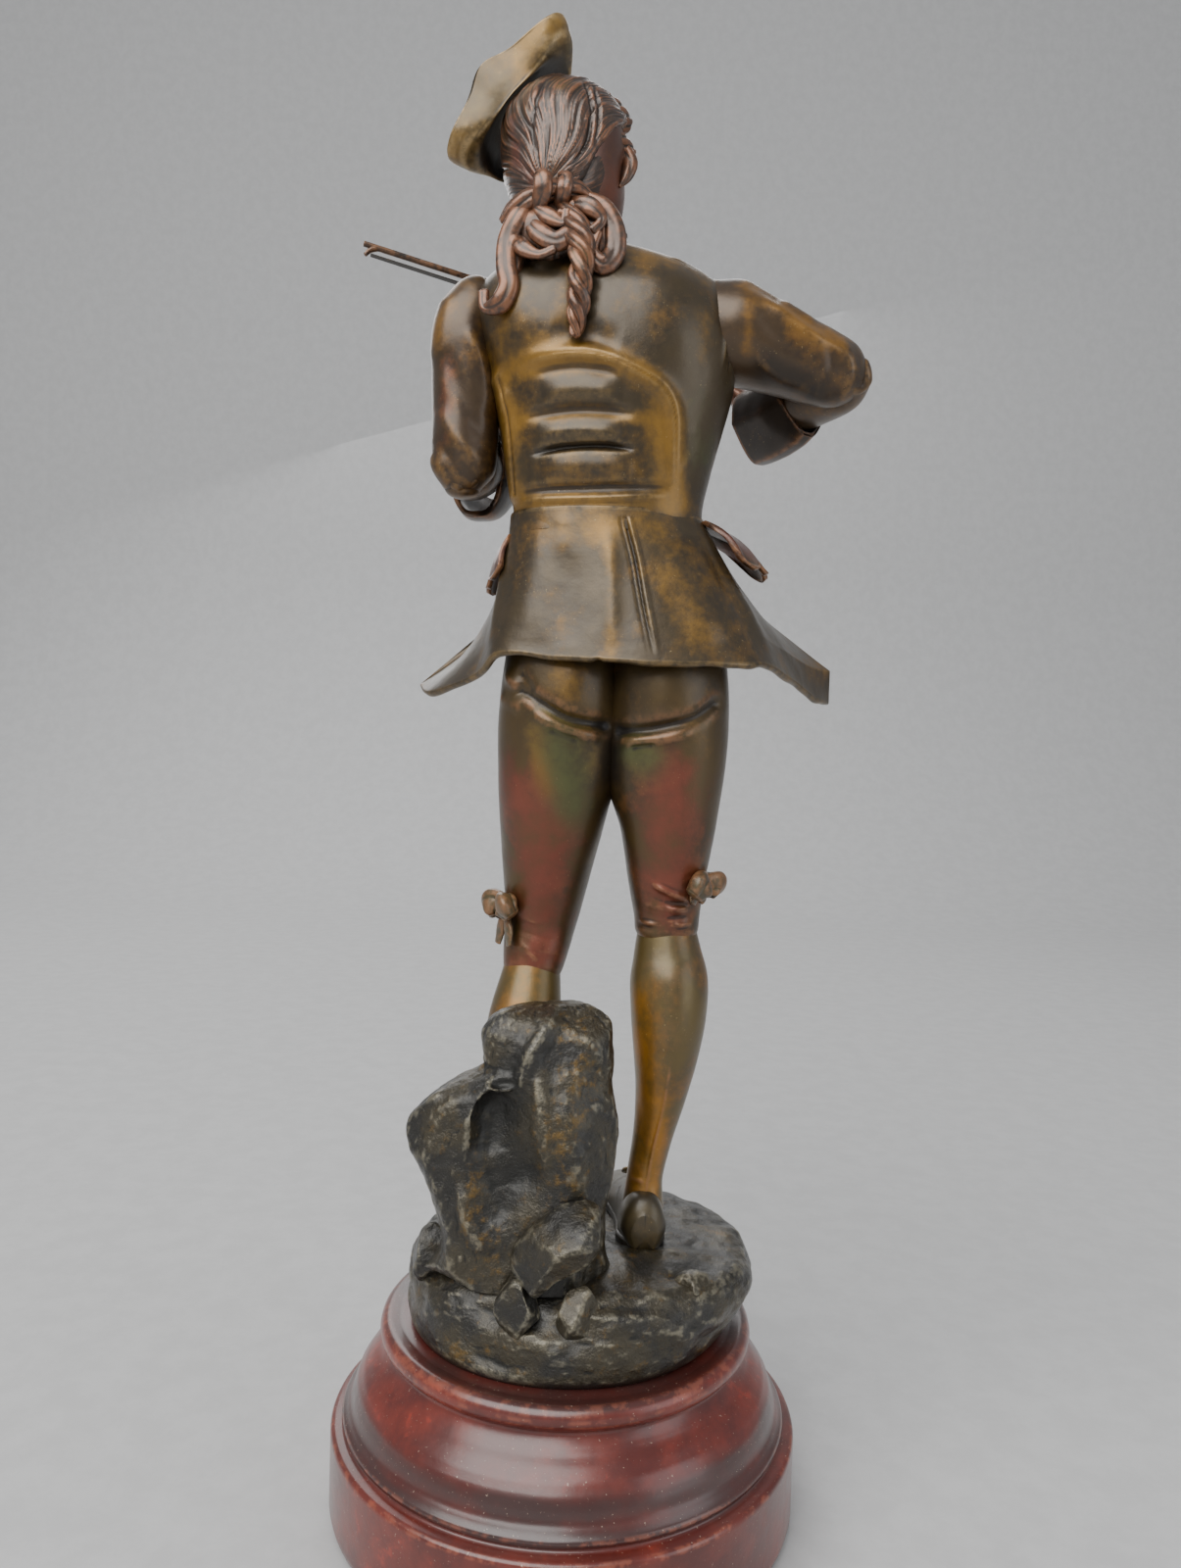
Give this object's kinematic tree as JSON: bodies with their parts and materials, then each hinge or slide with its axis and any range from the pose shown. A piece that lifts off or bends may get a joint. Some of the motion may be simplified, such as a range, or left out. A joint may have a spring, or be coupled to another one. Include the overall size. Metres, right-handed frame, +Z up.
{
  "type": "statuette",
  "caption": "Bronzed standing figure of a fiddler in tricorne, long coat and breeches on a rocky ground, stud-fixed to a turned lacquered wooden socle; the bow slips out of the hand.",
  "frame": {"origin": "centre of the felt under the socle, on the surface the statuette stands on", "axes": "+Z up along the socle's turning axis; the figure's front faces -Y and its back +Y; +X is the figure's left"},
  "size_m": [0.1695, 0.1833, 0.4763],
  "materials": {
    "lacquered_wood": "red and black lacquer, glossy, worn",
    "green_felt": "matt felt",
    "rock_bronze": "dark bronzed spelter, rough cast",
    "threaded_brass": "plain turned brass",
    "zinc_steel": "plain steel",
    "coat_bronze": "brown and golden bronze patina, semi gloss",
    "cuff_bronze": "near black bronze patina",
    "breeches_bronze": "olive brown bronze patina",
    "stocking_bronze": "golden bronze patina",
    "skin_bronze": "reddish brown bronze patina",
    "hair_bronze": "brown bronze patina with copper edges",
    "hat_bronze": "brassy olive bronze patina",
    "fiddle_bronze": "brown bronze patina",
    "dark_bronze": "near black bronze patina"
  },
  "bodies": {
    "socle": {"socle": "lacquered_wood", "base_felt": "green_felt"},
    "figure": {"terrace": "rock_bronze", "rock_outcrop": "rock_bronze", "loose_stones": "rock_bronze", "fixing_stud": "threaded_brass", "fixing_washer": "zinc_steel", "fixing_nut": "zinc_steel", "left_shoe": "breeches_bronze", "right_shoe": "breeches_bronze", "left_buckle": "hat_bronze", "right_buckle": "hat_bronze", "left_stocking": "stocking_bronze", "right_stocking": "stocking_bronze", "left_breeches_leg": "breeches_bronze", "right_breeches_leg": "breeches_bronze", "breeches_seat": "breeches_bronze", "left_knee_bow": "breeches_bronze", "right_knee_bow": "breeches_bronze", "coat_body": "coat_bronze", "coat_skirt": "coat_bronze", "left_pocket_flap": "coat_bronze", "right_pocket_flap": "coat_bronze", "waistcoat": "coat_bronze", "jabot": "coat_bronze", "coat_collar": "coat_bronze", "left_upper_sleeve": "coat_bronze", "left_forearm": "coat_bronze", "left_cuff": "cuff_bronze", "right_upper_sleeve": "coat_bronze", "right_forearm": "coat_bronze", "right_cuff": "cuff_bronze", "left_hand": "skin_bronze", "right_hand": "skin_bronze", "head": "skin_bronze", "hair": "hair_bronze", "temple_curls": "hair_bronze", "queue_ribbon": "hair_bronze", "queue_braid": "hair_bronze", "back_curls": "hair_bronze", "tricorne_hat": "hat_bronze", "fiddle_body": "fiddle_bronze", "fiddle_neck": "fiddle_bronze", "fingerboard": "dark_bronze", "tailpiece": "dark_bronze", "fiddle_bridge": "fiddle_bronze", "fiddle_strings": "dark_bronze", "tuning_pegs": "dark_bronze"},
    "bow": {"bow_stick": "dark_bronze", "bow_hair": "dark_bronze", "bow_frog": "dark_bronze"}
  },
  "joints": [
    {"name": "figure_turn", "type": "hinge", "parent": "socle", "child": "figure", "pos_m": [0, 0, 0.0613], "axis": [0, 0, 1], "continuous": true},
    {"name": "bow_draw", "type": "slide", "parent": "figure", "child": "bow", "axis": [0.951, 0.2498, 0.1822], "range_m": [0, 0.02]}
  ]
}
